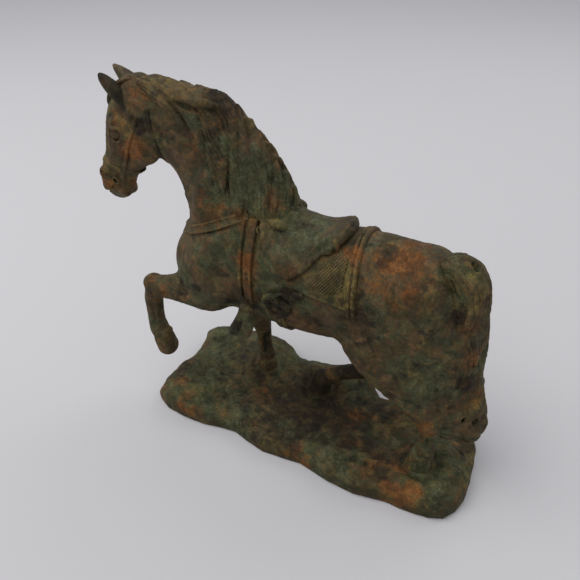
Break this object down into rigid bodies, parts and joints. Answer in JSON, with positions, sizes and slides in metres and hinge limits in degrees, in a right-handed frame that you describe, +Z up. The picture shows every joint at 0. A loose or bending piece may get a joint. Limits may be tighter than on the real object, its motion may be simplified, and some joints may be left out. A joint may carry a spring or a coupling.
{
  "type": "horse figurine",
  "caption": "Cast bronze parade horse with saddle, blanket and bridle, one foreleg raised, bolted by its planted hooves to a hollow rocky ground plate.",
  "frame": {"origin": "middle of the overall plan box, on the resting face of the ground plate", "axes": "+Z up, the horse faces -X, its left side is -Y"},
  "size_m": [0.2377, 0.0902, 0.2011],
  "materials": {
    "bronze_body": "aged matt patina, olive brown with green and rust patches",
    "bronze_dark": "dark aged patina",
    "bronze_rust": "warm rust-coloured patina",
    "bronze_green": "green verdigris patina",
    "fixing_brass": "dull uncoated brass"
  },
  "bodies": {
    "root": {"ground_plate": "bronze_green", "torso": "bronze_body", "neck": "bronze_body", "head": "bronze_body", "left_ear": "bronze_dark", "right_ear": "bronze_dark", "mane": "bronze_rust", "forelock": "bronze_rust", "tail": "bronze_rust", "left_foreleg": "bronze_body", "right_foreleg": "bronze_body", "left_hind_leg": "bronze_body", "right_hind_leg": "bronze_body", "saddle": "bronze_dark", "saddle_blanket": "bronze_green", "blanket_binding": "bronze_rust", "breast_collar": "bronze_rust", "girth": "bronze_dark", "left_stirrup_leather": "bronze_rust", "right_stirrup_leather": "bronze_rust", "left_stirrup": "bronze_dark", "right_stirrup": "bronze_dark", "left_girth_boss": "bronze_green", "right_girth_boss": "bronze_green", "throatlatch": "bronze_dark", "left_cheek_strap": "bronze_dark", "right_cheek_strap": "bronze_dark", "noseband": "bronze_dark", "hoof_studs": "fixing_brass", "washers": "fixing_brass", "nuts": "fixing_brass"}
  },
  "joints": []
}
